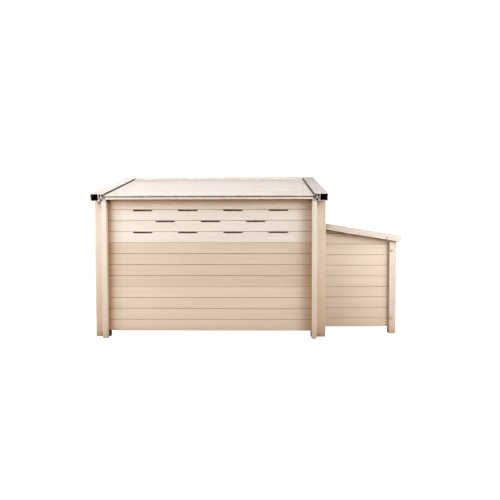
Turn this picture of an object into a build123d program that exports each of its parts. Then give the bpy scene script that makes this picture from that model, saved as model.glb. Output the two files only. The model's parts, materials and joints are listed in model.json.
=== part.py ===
from build123d import *
from math import cos, sin, tan, radians
import os

# Rabbit hutch in wood-plastic composite: a shed-roofed body on four corner posts, with a
# lift-up roof, two wire-mesh doors and a pull-out tray on its high side, and a lidded nest
# box on its +X end. Millimetres, +Z up. The origin lies on the ground under the centre of
# the whole hutch; +X runs along the body towards the nest box, and the low eave faces -Y.

# ---- driving dimensions ------------------------------------------------------------------
plank = 50.0                # pitch of the V-grooves that divide a board into planks
board_width = 4 * plank     # one tongue-and-groove board
board_thick = 20.0
nest_board_thick = 12.0
vee_width = 3.0             # V-groove across its mouth
vee_side = vee_width / 2**0.5       # of the square that cuts it
joint_vee_width = 6.0       # V between two roof boards, across its mouth
joint_vee_side = joint_vee_width / 2**0.5
skin = 4.0                  # wall round the hollow in each plank
tongue_thick = 3.9
tongue_length = 7.5
socket_thick = 4.5
socket_depth = 8.0
tongue_from_face = 6.0      # upper lip of the socket
fit_gap = 0.5               # play of a board end in its channel
joint_gap = 0.2             # between boards that are one sub-part

wall_bottom = 32.0          # boards stop this far above the ground
body_half = 461.0           # body centre to the inner side of a post's fin
body_depth = 555.0          # outer face of the low fins to outer face of the high fins
leg_thick = 21.0            # fin and flange of a corner post
leg_reach = 45.0            # how far each stands out from the post's core
leg_wall = 4.0              # wall round the hollow in each leg
wall_recess = 28.0          # low wall behind the faces of the fins
channel_depth = 10.0

roof_pitch = 13.8
roof_slope = 604.0          # length of the roof along its slope
roof_half = 530.0           # body centre to the outer side of a roof rail
rail_height = 34.0
rail_width = 60.0
rail_wall = 2.5
rail_web = 4.0
rail_outer_hollow = 32.0
ledge_height = 8.0
ledge_width = 9.0
eave_y = -1.0               # underside of the eave, from the low fins' faces
eave_z = 617.2
roof_joints = (0.0, 154.0, 367.0, 534.0)    # board edges along the slope, from the eave
seat_gap = 1.0              # shadow gap between a lid and the posts under it

nest_post = 32.0            # square posts of the nest box
nest_right = 868.0          # body centre to the outer side of the nest posts
nest_front = 118.0          # nest posts' faces, from the low fins' faces
nest_recess = 10.0
nest_channel = 6.0
nest_first_plank = 40.0
lid_pitch = 9.33
lid_slope = 391.0
lid_right = 892.0           # body centre to the lid's top edge at its low end
lid_top_z = 462.0
lid_rail_height = 30.0
lid_rail_width = 30.0
lid_ledge_height = 6.0
lid_ledge_width = 8.0
lid_overhang = 10.0         # lid beyond the nest posts, low side and high side

frame_thick = 28.0          # high-side frame members, flush with the fins
sill_top = 70.0
tray_rail_bottom = 128.0
tray_rail_top = 156.0
header_bottom = 690.0
header_top = 744.0
mullion_half = 20.0
door_gap = 1.5
door_thick = 20.0
door_stile = 40.0
door_rail = 45.0

knuckle_r = 4.0
pin_r = 2.0
pin_play = 0.05
leaf_thick = 2.0
axis_stand_off = 4.3        # hinge axis above the face that its leaf lies on

# ---- places that follow from them -------------------------------------------------------
rise = tan(radians(roof_pitch))
slope_dir = Vector(0, cos(radians(roof_pitch)), sin(radians(roof_pitch)))
roof_normal = Vector(0, -sin(radians(roof_pitch)), cos(radians(roof_pitch)))
lid_up = Vector(-cos(radians(lid_pitch)), 0, sin(radians(lid_pitch)))
lid_normal = Vector(sin(radians(lid_pitch)), 0, cos(radians(lid_pitch)))

mid_x = -(lid_right - roof_half) / 2
roof_low_y = eave_y - rail_height * sin(radians(roof_pitch))
roof_high_y = eave_y + roof_slope * cos(radians(roof_pitch))
face_y = -(roof_low_y + roof_high_y) / 2    # outer faces of the low fins
back_y = face_y + body_depth                # outer faces of the high fins
middle_y = face_y + body_depth / 2

eave = Vector(mid_x, face_y + eave_y, eave_z)
lid_tip = Vector(mid_x + lid_right, 0, lid_top_z) - lid_normal * lid_rail_height
core = leg_reach + leg_thick
side_face = body_half + leg_thick + leg_reach - wall_recess     # outer faces of the side walls
wall_line = face_y + wall_recess
high_wall_end = face_y + body_depth - core + channel_depth - fit_gap
low_wall_end = face_y + core - channel_depth + fit_gap
frame_back = back_y - frame_thick
nest_left = side_face + fit_gap
nest_back = body_depth - nest_front


def roof_plane(height):
    """Plane of the roof's slope, this far above the underside of its rails."""
    return Plane(origin=eave + roof_normal * height, x_dir=(1, 0, 0), z_dir=roof_normal)


def lid_plane(height):
    """Plane of the nest lid's slope, this far above the underside of its rails."""
    return Plane(origin=lid_tip + lid_normal * height, x_dir=(0, -1, 0), z_dir=lid_normal)


def block(x0, x1, y0, y1, z0, z1):
    """Rectangular piece between two corners."""
    with BuildPart() as piece:
        with BuildSketch(Plane.XY.offset(z0)):
            with Locations(((x0 + x1) / 2, (y0 + y1) / 2)):
                Rectangle(x1 - x0, y1 - y0)
        extrude(amount=z1 - z0)
    return piece.part


def hollows(width, lines, socket):
    """Lower and upper edge of the hollow in each plank of a board."""
    edges = [line for line in lines if line > 0] + [width]
    lower = (socket_depth if socket else 0.0) + skin
    spans = []
    for edge in edges:
        spans.append((lower, edge - skin))
        lower = edge + skin
    return spans


def board(start, out, up, length, width, thick, lines=(), tongue=True, socket=True, hollow=True,
          joints=()):
    """Tongue-and-groove board, hollow in each plank unless it is thin or cut through. `start`
    is on its outer face at one end of its lower edge, `out` points away from that face and
    `up` across the board; it runs along out x up. `lines` are its V-grooves, and `joints`
    the edges that are cut back to a wider V."""
    section = Plane(origin=start, x_dir=out, z_dir=Vector(*out).cross(Vector(*up)))
    with BuildPart() as piece:
        with BuildSketch(section):
            with Locations((-thick / 2, width / 2)):
                Rectangle(thick, width)
            if lines:
                with Locations([(0, line) for line in lines]):
                    Rectangle(vee_side, vee_side, 45, mode=Mode.SUBTRACT)
            if joints:
                with Locations([(0, edge) for edge in joints]):
                    Rectangle(joint_vee_side, joint_vee_side, 45, mode=Mode.SUBTRACT)
            if socket:
                with Locations((-tongue_from_face - socket_thick / 2, socket_depth / 2)):
                    Rectangle(socket_thick, socket_depth, mode=Mode.SUBTRACT)
            if tongue:
                with Locations((-tongue_from_face - socket_thick / 2, width + tongue_length / 2)):
                    Rectangle(tongue_thick, tongue_length)
            if hollow:
                for lower, upper in hollows(width, lines, socket):
                    with Locations((-thick / 2, (lower + upper) / 2)):
                        Rectangle(thick - 2 * skin, upper - lower, mode=Mode.SUBTRACT)
        extrude(amount=length)
    return piece.part


def plank_lines(width, first=plank):
    """V-grooves of a board, with one on its lower joint."""
    count = int((width - first) / plank + 1)
    return [0.0] + [first + plank * index for index in range(count) if first + plank * index < width]


def trimmed(piece, plane):
    """The part of a piece that lies under a sloping plane."""
    with BuildPart() as kept:
        add(piece)
        split(bisect_by=plane, keep=Keep.BOTTOM)
    return kept.part


def cut_away(piece, *cutters):
    """A piece with notches or holes taken out of it."""
    with BuildPart() as kept:
        add(piece)
        for cutter in cutters:
            add(cutter, mode=Mode.SUBTRACT)
    return kept.part


def rod(centre, direction, radius, length):
    """Round bar from a point along a direction."""
    with BuildPart() as piece:
        with BuildSketch(Plane(origin=centre, z_dir=direction)):
            Circle(radius)
        extrude(amount=length)
    return piece.part


def turned(centre, direction, profile):
    """Round piece turned about an axis, from the (radius, height) corners of its outline."""
    base = Plane(origin=centre, z_dir=direction)
    section = Plane(centre, x_dir=base.x_dir, z_dir=-base.y_dir)
    with BuildPart() as piece:
        with BuildSketch(section):
            Polygon(*profile, align=None)
        revolve(axis=Axis(centre, direction))
    return piece.part


# ---- corner posts ---------------------------------------------------------------------
def corner_post(side, low):
    """Extruded post: a fin and a flange at right angles, both standing outwards from the
    body, with a channel for each wall that ends in it and a hollow in each leg."""
    outer_y = face_y if low else back_y
    inward = 1 if low else -1

    def at(u, v):
        return (mid_x + side * u, outer_y + inward * v)

    def window(u0, u1, v0, v1):
        with Locations(at((u0 + u1) / 2, (v0 + v1) / 2)):
            Rectangle(u1 - u0, v1 - v0, mode=Mode.SUBTRACT)

    fin_out = body_half + leg_thick
    flange_out = fin_out + leg_reach
    outline = [at(body_half, 0), at(fin_out, 0), at(fin_out, leg_reach),
               at(flange_out, leg_reach), at(flange_out, core), at(body_half, core)]
    with BuildPart() as post:
        with BuildSketch(Plane.XY):
            Polygon(*outline, align=None)
            window(body_half + leg_wall, fin_out - leg_wall, leg_wall, wall_recess - leg_wall)
            window(side_face + leg_wall, flange_out - leg_wall, leg_reach + leg_wall, core - leg_wall)
            window(side_face - board_thick - fit_gap, side_face + fit_gap, core - channel_depth, core)
            if low:
                window(body_half, body_half + channel_depth,
                       wall_recess - fit_gap, wall_recess + board_thick + fit_gap)
        extrude(amount=roof_slope + board_width)
        split(bisect_by=roof_plane(-seat_gap), keep=Keep.BOTTOM)
    return post.part


bolt_depth = 14.0           # bolt centre behind the fins' faces
bolt_z = 601.0
bolt_shank_r = 4.0
bolt_head_r = 7.5
bolt_head_height = 8.6
bolt_nut_height = 6.0


def bolt_hole(side):
    start = Vector(mid_x + side * (body_half - 1), face_y + bolt_depth, bolt_z)
    return rod(start, (side, 0, 0), bolt_shank_r + pin_play, leg_thick + 2)


pieces = {}
pieces["post_low_left"] = cut_away(corner_post(-1, True), bolt_hole(-1))
pieces["post_low_right"] = cut_away(corner_post(1, True), bolt_hole(1))
pieces["post_high_left"] = corner_post(-1, False)
pieces["post_high_right"] = corner_post(1, False)

# ---- low wall: three boards, the top one vented -----------------------------------------
low_end = body_half + channel_depth - fit_gap
low_start = Vector(mid_x + low_end, wall_line, 0)
vented_height = board_width - 2.0           # its top edge stays clear of the roof boards
slot_length = 86.0
slot_height = 6.2
slot_pitch = 204.9
slot_shift = 4.0            # the pattern stands this far right of the body's centre
slot_drop = 4.6             # slot centres under the V-groove above them
slot_rows = ((9, 4), (10, 3), (11, 4))      # planks up from the bottom, slots in the row
corner_notch_z = eave_z + 4.0               # top corners are cut down to here, under the roof rails


def low_board(level, height, tongue):
    start = low_start + Vector(0, 0, wall_bottom + level * board_width)
    return board(start, (0, -1, 0), (0, 0, 1), 2 * low_end, height, board_thick,
                 plank_lines(height), tongue, True)


with BuildPart() as low_wall_board_vented:
    add(low_board(2, vented_height, False))
    with BuildSketch(Plane(origin=(mid_x, wall_line, 0), x_dir=(1, 0, 0), z_dir=(0, -1, 0))):
        for row, count in slot_rows:
            with Locations((slot_shift, wall_bottom + row * plank - slot_drop)):
                with GridLocations(slot_pitch, plank, count, 1):
                    Rectangle(slot_length, slot_height)
    extrude(amount=-board_thick, mode=Mode.SUBTRACT)
    with BuildSketch(Plane.XY.offset(corner_notch_z)):
        for side in (-1, 1):
            with Locations((mid_x + side * low_end, wall_line + board_thick / 2)):
                Rectangle(2 * channel_depth, 2 * board_thick)
    extrude(amount=plank, mode=Mode.SUBTRACT)

pieces["low_wall_board_lower"] = low_board(0, board_width, True)
pieces["low_wall_board_middle"] = low_board(1, board_width, True)
pieces["low_wall_board_vented"] = low_wall_board_vented.part

# ---- side walls, with the doorway to the nest box in the right one -----------------------
side_length = high_wall_end - low_wall_end
side_levels = (0.0, board_width, 2 * board_width, 2 * board_width + 3 * plank)
side_names = ("board_1", "board_2", "board_3", "board_top")
top_board = 3               # index of the board under the roof
top_board_height = 165.0
pop_hole_half = 100.0
pop_hole_bottom = 92.0
pop_hole_top = 330.0
pop_hole_radius = 30.0


def side_board(side, index, hollow=True):
    below_top = index < top_board
    height = side_levels[index + 1] - side_levels[index] if below_top else top_board_height
    start_y = low_wall_end if side < 0 else high_wall_end
    start = Vector(mid_x + side * side_face, start_y, wall_bottom + side_levels[index])
    piece = board(start, (side, 0, 0), (0, 0, 1), side_length, height, board_thick,
                  plank_lines(height), below_top, True, hollow)
    return piece if below_top else trimmed(piece, roof_plane(-seat_gap - fit_gap))


with BuildPart() as pop_hole:
    with BuildSketch(Plane(origin=(mid_x + side_face + 1, middle_y, 0), x_dir=(0, 1, 0), z_dir=(1, 0, 0))):
        with Locations((0, (pop_hole_bottom + pop_hole_top) / 2)):
            RectangleRounded(2 * pop_hole_half, pop_hole_top - pop_hole_bottom, pop_hole_radius)
    extrude(amount=-board_thick - 2)

for index, name in enumerate(side_names):
    cut_through = index < 2
    right_board = side_board(1, index, not cut_through)
    pieces["left_wall_" + name] = side_board(-1, index)
    pieces["right_wall_" + name] = cut_away(right_board, pop_hole.part) if cut_through else right_board

# ---- high-side frame --------------------------------------------------------------------
frame_half = body_half - fit_gap
button_z = 468.0
button_screw_r = 2.5
button_screw_grip = 18.0
screw_hole_depth = 20.5


def frame_bar(half, z0, z1):
    return block(mid_x - half, mid_x + half, frame_back, back_y, z0, z1)


pieces["header_rail"] = frame_bar(frame_half, header_bottom, header_top)
pieces["sill_rail"] = frame_bar(frame_half, wall_bottom, sill_top)
pieces["tray_rail"] = frame_bar(frame_half, tray_rail_bottom, tray_rail_top)
screw_hole = rod((mid_x, back_y + 1, button_z), (0, -1, 0), button_screw_r + pin_play, screw_hole_depth)
pieces["centre_mullion"] = cut_away(frame_bar(mullion_half, tray_rail_top, header_bottom), screw_hole)

# ---- floor ------------------------------------------------------------------------------
floor_bottom = 52.0
floor_top = sill_top
floor_low = wall_line + board_thick + fit_gap
floor_high = frame_back - fit_gap
bearer_x = 300.0
bearer_width = 40.0

with BuildPart() as floor_panel:
    with BuildSketch(Plane.XY.offset(floor_bottom)):
        with Locations((mid_x, (floor_low + floor_high) / 2)):
            Rectangle(2 * frame_half, floor_high - floor_low)
        with Locations((mid_x, middle_y)):
            Rectangle(2 * (side_face - board_thick - fit_gap), body_depth - 2 * core - 2 * fit_gap)
    extrude(amount=floor_top - floor_bottom)
pieces["floor_panel"] = floor_panel.part

with BuildPart() as floor_bearers:
    with BuildSketch(Plane.XY.offset(wall_bottom)):
        with Locations((mid_x, (floor_low + floor_high) / 2)):
            with GridLocations(2 * bearer_x, 1, 2, 1):
                Rectangle(bearer_width, floor_high - floor_low)
    extrude(amount=floor_bottom - wall_bottom)
pieces["floor_bearers"] = floor_bearers.part

# ---- nest box -----------------------------------------------------------------------------
nest_lower = nest_first_plank + 4 * plank
nest_upper = 232.0
nest_post_left = nest_right - nest_post
nest_wall_right = nest_post_left + nest_channel - fit_gap
nest_end_face = nest_right - nest_recess
nest_end_low = face_y + nest_front + nest_post - nest_channel + fit_gap
nest_end_high = face_y + nest_back - nest_post + nest_channel - fit_gap


def nest_corner(low):
    """Square hollow post with a channel for the end wall and one for the side wall."""
    outer_y = face_y + (nest_front if low else nest_back)
    inward = 1 if low else -1

    def window(u0, u1, v0, v1):
        with Locations((mid_x + (u0 + u1) / 2, outer_y + inward * (v0 + v1) / 2)):
            Rectangle(u1 - u0, v1 - v0, mode=Mode.SUBTRACT)

    with BuildPart() as post:
        with BuildSketch(Plane.XY):
            with Locations((mid_x + nest_right - nest_post / 2, outer_y + inward * nest_post / 2)):
                Rectangle(nest_post, nest_post)
            window(nest_post_left, nest_post_left + nest_channel,
                   nest_recess - fit_gap, nest_recess + nest_board_thick + fit_gap)
            window(nest_end_face - nest_board_thick - fit_gap, nest_end_face + fit_gap,
                   nest_post - nest_channel, nest_post)
        extrude(amount=2 * nest_upper + 2 * plank)
        split(bisect_by=lid_plane(-seat_gap), keep=Keep.BOTTOM)
    return post.part


def nest_wall(start, out, length):
    """Two tongue-and-groove boards, the upper one cut to the slope of the lid."""
    lower_start = start + Vector(0, 0, wall_bottom)
    lower = board(lower_start, out, (0, 0, 1), length, nest_lower, nest_board_thick,
                  plank_lines(nest_lower, nest_first_plank)[1:], True, False, False)
    upper_start = start + Vector(0, 0, wall_bottom + nest_lower + joint_gap)
    upper = board(upper_start, out, (0, 0, 1), length, nest_upper, nest_board_thick,
                  plank_lines(nest_upper), False, True, False)
    return Compound(children=[lower, trimmed(upper, lid_plane(-seat_gap - fit_gap))])


nest_length = nest_wall_right - nest_left
low_corner = Vector(mid_x + nest_wall_right, face_y + nest_front + nest_recess, 0)
high_corner = Vector(mid_x + nest_left, face_y + nest_back - nest_recess, 0)
end_corner = Vector(mid_x + nest_end_face, nest_end_high, 0)
pieces["nest_post_low"] = nest_corner(True)
pieces["nest_post_high"] = nest_corner(False)
pieces["nest_low_wall_boards"] = nest_wall(low_corner, (0, -1, 0), nest_length)
pieces["nest_high_wall_boards"] = nest_wall(high_corner, (0, 1, 0), nest_length)
pieces["nest_end_wall_boards"] = nest_wall(end_corner, (1, 0, 0), nest_end_high - nest_end_low)

nest_floor_bottom = 48.0
nest_floor_top = 60.0
pieces["nest_floor"] = block(mid_x + nest_left, mid_x + nest_end_face - nest_board_thick - fit_gap,
                             face_y + nest_front + nest_post, face_y + nest_back - nest_post,
                             nest_floor_bottom, nest_floor_top)

# ---- nest lid -------------------------------------------------------------------------------
lid_low = nest_front - lid_overhang
lid_high = body_depth - lid_low
lid_end_round = 6.0


def lid_rail(low):
    """Side rail of the nest lid, with an inner ledge that carries the boards."""
    outer = lid_low if low else lid_high
    inward = 1 if low else -1
    across = Vector(0, inward, 0)
    section = Plane(origin=lid_tip + Vector(0, face_y + outer, 0), x_dir=across,
                    z_dir=across.cross(lid_normal))
    with BuildPart() as rail:
        with BuildSketch(section):
            with Locations((lid_rail_width / 2, lid_rail_height / 2)):
                Rectangle(lid_rail_width, lid_rail_height)
            with Locations((lid_rail_width + lid_ledge_width / 2, lid_ledge_height / 2)):
                Rectangle(lid_ledge_width, lid_ledge_height)
        extrude(amount=-inward * lid_slope)
        tip_edges = rail.edges().filter_by(Axis.Y).group_by(Axis.X)[-1]
        fillet(tip_edges.sort_by(Axis.Z)[-1], lid_end_round)
    return rail.part


lid_board_low = lid_low + lid_rail_width + fit_gap
lid_board_high = lid_high - lid_rail_width - fit_gap
lid_board_span = lid_board_high - lid_board_low
lid_board_top = lid_ledge_height + board_thick


def lid_board(from_tip, width, tongue):
    start = lid_tip + lid_normal * lid_board_top + lid_up * from_tip + Vector(0, face_y + lid_board_high, 0)
    return board(start, lid_normal, lid_up, lid_board_span, width, board_thick, plank_lines(width),
                 tongue, from_tip > 0)


pieces["nest_lid_rail_low"] = lid_rail(True)
pieces["nest_lid_rail_high"] = lid_rail(False)
upper_board = board_width + joint_gap
pieces["nest_lid_boards"] = Compound(children=[lid_board(0.0, board_width, True),
                                               lid_board(upper_board, lid_slope - upper_board, False)])

# ---- roof -----------------------------------------------------------------------------------
screw_port_r = 5.2
screw_port_hole_r = 1.6
rib_thick = 3.0
chamber_low = roof_half - rail_width + rail_wall
chamber_high = roof_half - rail_wall - rail_outer_hollow - rail_web
roof_board_gap = 5.0        # room for the boards to grow in warm weather, at each end
roof_inner = roof_half - rail_width - roof_board_gap
roof_top = ledge_height + board_thick


def roof_rail(side):
    """Extruded rail, open at both ends: an empty outer chamber, an inner chamber whose
    three ribs hold a screw port, and an inner ledge that carries the boards."""
    section = Plane(origin=eave, x_dir=(1, 0, 0), z_dir=-slope_dir)
    chamber_width = chamber_high - chamber_low
    chamber_mid = side * (chamber_low + chamber_high) / 2
    rail_mid = rail_height / 2
    clear_height = rail_height - 2 * rail_wall
    diagonal = (chamber_width**2 + clear_height**2) ** 0.5
    lean = Vector(1, 0, 0).get_angle(Vector(chamber_width, clear_height, 0))
    with BuildPart() as rail:
        with BuildSketch(section):
            with Locations((side * (roof_half - rail_width / 2), rail_mid)):
                Rectangle(rail_width, rail_height)
            with Locations((side * (roof_half - rail_width - ledge_width / 2), ledge_height / 2)):
                Rectangle(ledge_width, ledge_height)
            with Locations((side * (roof_half - rail_wall - rail_outer_hollow / 2), rail_mid)):
                Rectangle(rail_outer_hollow, clear_height, mode=Mode.SUBTRACT)
            with Locations((chamber_mid, rail_mid)):
                Rectangle(chamber_width, clear_height, mode=Mode.SUBTRACT)
            with Locations((chamber_mid, rail_mid + clear_height / 4)):
                Rectangle(rib_thick, clear_height / 2)
            for sense in (-1, 1):
                with Locations((chamber_mid + sense * chamber_width / 4, rail_mid - clear_height / 4)):
                    Rectangle(diagonal / 2, rib_thick, -sense * lean)
            with Locations((chamber_mid, rail_mid)):
                Circle(screw_port_r)
                Circle(screw_port_hole_r, mode=Mode.SUBTRACT)
        extrude(amount=-roof_slope)
    return rail.part


def roof_board(index, tongue=True):
    """One of the boards that run between the rails, counted from the eave."""
    lower, upper = roof_joints[index], roof_joints[index + 1]
    width = upper - lower if tongue else upper - lower - fit_gap
    start = eave + roof_normal * roof_top + slope_dir * lower + Vector(roof_inner, 0, 0)
    count = round((upper - lower) / plank)
    lines = [(upper - lower) / count * step for step in range(1, count)]
    joints = [edge for edge, wanted in ((0.0, index > 0), (width, True)) if wanted]
    return board(start, roof_normal, slope_dir, 2 * roof_inner, width, board_thick, lines, tongue,
                 joints=joints)


with BuildPart() as roof_hinge_rail:
    with BuildSketch(roof_plane(0)):
        with Locations((0, (roof_joints[-1] + roof_slope) / 2)):
            Rectangle(2 * frame_half, roof_slope - roof_joints[-1])
    extrude(amount=rail_height)
    with BuildSketch(roof_plane(ledge_height)):
        with Locations((0, (roof_joints[-1] + roof_slope) / 2)):
            Rectangle(2 * roof_inner, roof_slope - roof_joints[-1])
    extrude(amount=rail_height - ledge_height)

pieces["roof_rail_left"] = roof_rail(-1)
pieces["roof_rail_right"] = roof_rail(1)
pieces["roof_board_low"] = roof_board(0)
pieces["roof_board_middle"] = roof_board(1)
pieces["roof_board_high"] = roof_board(2, False)
pieces["roof_hinge_rail"] = roof_hinge_rail.part

# ---- doors ------------------------------------------------------------------------------------
door_low_z = tray_rail_top + door_gap
door_high_z = header_bottom - door_gap
door_outer = body_half - door_gap
door_inner = mullion_half + door_gap
door_mid_low = 448.0        # rail between the mesh and the boarded panel above it
door_mid_high = 488.0
panel_thick = 10.0
panel_recess = 5.0
mesh_thick = 2.0
mesh_wire = 2.0
mesh_pitch = 25.0
mesh_margin = 14.0          # mesh beyond the clear opening, fixed to the back of the frame
door_back = back_y - door_thick


def door_span(side, x0, x1):
    """Both x limits of a piece of a door, from distances out from the body's centre."""
    return sorted((mid_x + side * x0, mid_x + side * x1))


def door_stiles(side):
    outer = door_span(side, door_outer - door_stile, door_outer)
    inner = door_span(side, door_inner, door_inner + door_stile)
    return Compound(children=[block(*outer, door_back, back_y, door_low_z, door_high_z),
                              block(*inner, door_back, back_y, door_low_z, door_high_z)])


def door_rails(side):
    span = door_span(side, door_inner + door_stile, door_outer - door_stile)
    levels = ((door_low_z, door_low_z + door_rail), (door_mid_low, door_mid_high),
              (door_high_z - door_rail, door_high_z))
    return Compound(children=[block(*span, door_back, back_y, z0, z1) for z0, z1 in levels])


def door_panel(side):
    """Boarded panel between the stiles, over the mesh, with V-grooves on its outer face."""
    x0, x1 = door_span(side, door_inner + door_stile, door_outer - door_stile)
    height = door_high_z - door_rail - door_mid_high
    return board(Vector(x0, back_y - panel_recess, door_mid_high), (0, 1, 0), (0, 0, 1), x1 - x0, height,
                 panel_thick, (height / 3, 2 * height / 3), False, False, False)


def door_mesh(side):
    """Welded mesh: square openings between wires, behind the frame of the door."""
    x0, x1 = door_span(side, door_inner + door_stile - mesh_margin, door_outer - door_stile + mesh_margin)
    z0 = door_low_z + door_rail - mesh_margin
    z1 = door_mid_low + mesh_margin
    columns = int((x1 - x0 - mesh_wire) / mesh_pitch)
    rows = int((z1 - z0 - mesh_wire) / mesh_pitch)
    column_pitch = (x1 - x0 - mesh_wire) / columns
    row_pitch = (z1 - z0 - mesh_wire) / rows
    with BuildPart() as mesh:
        with BuildSketch(Plane(origin=(0, door_back, 0), x_dir=(1, 0, 0), z_dir=(0, -1, 0))):
            with Locations(((x0 + x1) / 2, (z0 + z1) / 2)):
                Rectangle(x1 - x0, z1 - z0)
                with GridLocations(column_pitch, row_pitch, columns, rows):
                    Rectangle(column_pitch - mesh_wire, row_pitch - mesh_wire, mode=Mode.SUBTRACT)
        extrude(amount=mesh_thick)
    return mesh.part


# radius and height of each corner of the outline
knob_profile = ((0, 0), (9, 0), (9, 2), (6, 5), (6, 10), (12, 14), (13, 17), (12, 21), (8, 24), (0, 24.5))
knob_z = 380.0

for side, hand in ((-1, "left"), (1, "right")):
    knob_x = mid_x + side * (door_inner + door_stile / 2)
    pieces[hand + "_door_stiles"] = door_stiles(side)
    pieces[hand + "_door_rails"] = door_rails(side)
    pieces[hand + "_door_panel"] = door_panel(side)
    pieces[hand + "_door_mesh"] = door_mesh(side)
    pieces[hand + "_door_knob"] = turned((knob_x, back_y, knob_z), (0, 1, 0), knob_profile)

# ---- hinges -----------------------------------------------------------------------------------
door_leaf_width = 26.0
post_leaf_width = 18.0
door_leaf_length = 60.0
door_hinge_levels = (230.0, 610.0)
roof_leaf_width = 24.0
roof_leaf_length = 80.0
roof_hinge_x = 300.0
lid_leaf_width = 30.0
wall_leaf_width = 22.0
lid_leaf_length = 60.0
lid_hinge_reach = 90.0
knuckle_gap = 0.4
pin_head_r = 3.0
pin_head_height = 1.5


def hinge_leaf(axis_point, axis_dir, reach, face_normal, width, length, outer_knuckles):
    """A leaf whose face lies `axis_stand_off` under the hinge axis. Its plate runs along
    `reach`; it carries the two outer knuckles of three, or the middle one."""
    axis_dir, reach, face_normal = Vector(axis_dir), Vector(reach), Vector(face_normal)
    start = Vector(axis_point) - axis_dir * (length / 2)
    third = length / 3
    spans = ((0, third - knuckle_gap), (2 * third + knuckle_gap, length)) if outer_knuckles else (
        (third, 2 * third),)
    along = 1 if reach.cross(face_normal).dot(axis_dir) > 0 else -1
    with BuildPart() as leaf:
        with BuildSketch(Plane(origin=start - face_normal * axis_stand_off, x_dir=reach, z_dir=-face_normal)):
            with Locations(((knuckle_r + fit_gap + width) / 2, along * length / 2)):
                Rectangle(width - knuckle_r - fit_gap, length)
        extrude(amount=-leaf_thick)
        for low, high in spans:
            with BuildSketch(Plane(origin=start + axis_dir * low, x_dir=reach, z_dir=axis_dir)):
                Circle(knuckle_r)
                with Locations(((knuckle_r + fit_gap + 1) / 2, -along * (axis_stand_off - leaf_thick / 2))):
                    Rectangle(knuckle_r + fit_gap + 1, leaf_thick)
                Circle(pin_r + pin_play, mode=Mode.SUBTRACT)
            extrude(amount=high - low)
    return leaf.part


def hinge_pin(axis_point, axis_dir, length):
    """Pin with a head at each end, outside the outer knuckles."""
    start = Vector(axis_point) - Vector(axis_dir) * (length / 2 + knuckle_gap)
    end = Vector(axis_point) + Vector(axis_dir) * (length / 2 + knuckle_gap)
    with BuildPart() as pin:
        with BuildSketch(Plane(origin=start, z_dir=axis_dir)):
            Circle(pin_r)
        extrude(amount=length + 2 * knuckle_gap)
        for tip, direction in ((start, -Vector(axis_dir)), (end, Vector(axis_dir))):
            with BuildSketch(Plane(origin=tip, z_dir=direction)):
                Circle(pin_head_r)
            extrude(amount=pin_head_height)
    return pin.part


roof_axis_y = back_y + axis_stand_off
roof_axis_z = (eave_z + (roof_axis_y - eave.Y) * rise - axis_stand_off / cos(radians(roof_pitch)))
lid_axis_x = mid_x + side_face + axis_stand_off
lid_face_z = lid_tip.Z + (lid_tip.X - lid_axis_x) * tan(radians(lid_pitch))
lid_axis_z = lid_face_z + (lid_board_top + axis_stand_off) / cos(radians(lid_pitch))
door_axis_y = back_y + axis_stand_off
door_axis_out = body_half - door_gap / 2

frame_leaves, pins = [], []
for side, hand in ((-1, "left"), (1, "right")):
    door_leaves = []
    for level in door_hinge_levels:
        axis_point = (mid_x + side * door_axis_out, door_axis_y, level)
        frame_leaves.append(hinge_leaf(axis_point, (0, 0, 1), (side, 0, 0), (0, 1, 0),
                                       post_leaf_width, door_leaf_length, True))
        door_leaves.append(hinge_leaf(axis_point, (0, 0, 1), (-side, 0, 0), (0, 1, 0),
                                      door_leaf_width, door_leaf_length, False))
        pins.append(hinge_pin(axis_point, (0, 0, 1), door_leaf_length))
    pieces[hand + "_door_hinge_leaves"] = Compound(children=door_leaves)
pieces["door_hinge_frame_leaves"] = Compound(children=frame_leaves)

header_leaves, roof_leaves = [], []
for side in (-1, 1):
    axis_point = (mid_x + side * roof_hinge_x, roof_axis_y, roof_axis_z)
    header_leaves.append(hinge_leaf(axis_point, (1, 0, 0), (0, 0, -1), (0, 1, 0),
                                    roof_leaf_width, roof_leaf_length, True))
    roof_leaves.append(hinge_leaf(axis_point, (1, 0, 0), slope_dir, -roof_normal,
                                  roof_leaf_width, roof_leaf_length, False))
    pins.append(hinge_pin(axis_point, (1, 0, 0), roof_leaf_length))
pieces["roof_hinge_frame_leaves"] = Compound(children=header_leaves)
pieces["roof_hinge_lid_leaves"] = Compound(children=roof_leaves)

wall_leaves, lid_leaves = [], []
for side in (-1, 1):
    axis_point = (lid_axis_x, middle_y + side * lid_hinge_reach, lid_axis_z)
    wall_leaves.append(hinge_leaf(axis_point, (0, 1, 0), (0, 0, 1), (1, 0, 0),
                                  wall_leaf_width, lid_leaf_length, True))
    lid_leaves.append(hinge_leaf(axis_point, (0, 1, 0), -lid_up, lid_normal,
                                 lid_leaf_width, lid_leaf_length, False))
    pins.append(hinge_pin(axis_point, (0, 1, 0), lid_leaf_length))
pieces["nest_hinge_wall_leaves"] = Compound(children=wall_leaves)
pieces["nest_hinge_lid_leaves"] = Compound(children=lid_leaves)
pieces["hinge_pins"] = Compound(children=pins)

# ---- turn button on the mullion -----------------------------------------------------------------
button_length = 90.0
button_width = 20.0
button_thick = 5.0
button_lift = 1.0           # a washer's thickness off the mullion
screw_head_r = 6.0
screw_head_height = 3.0

button_edge_r = 1.2
button_face = Plane(origin=(mid_x, back_y + button_lift, button_z), x_dir=(-1, 0, 0), z_dir=(0, 1, 0))

with BuildPart() as turn_button:
    with BuildSketch(button_face):
        SlotOverall(button_length, button_width, 90)
        Circle(button_screw_r + pin_play, mode=Mode.SUBTRACT)
    extrude(amount=button_thick)
    fillet(turn_button.faces().sort_by(Axis.Y)[-1].outer_wire().edges(), button_edge_r)
pieces["turn_button"] = turn_button.part

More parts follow.
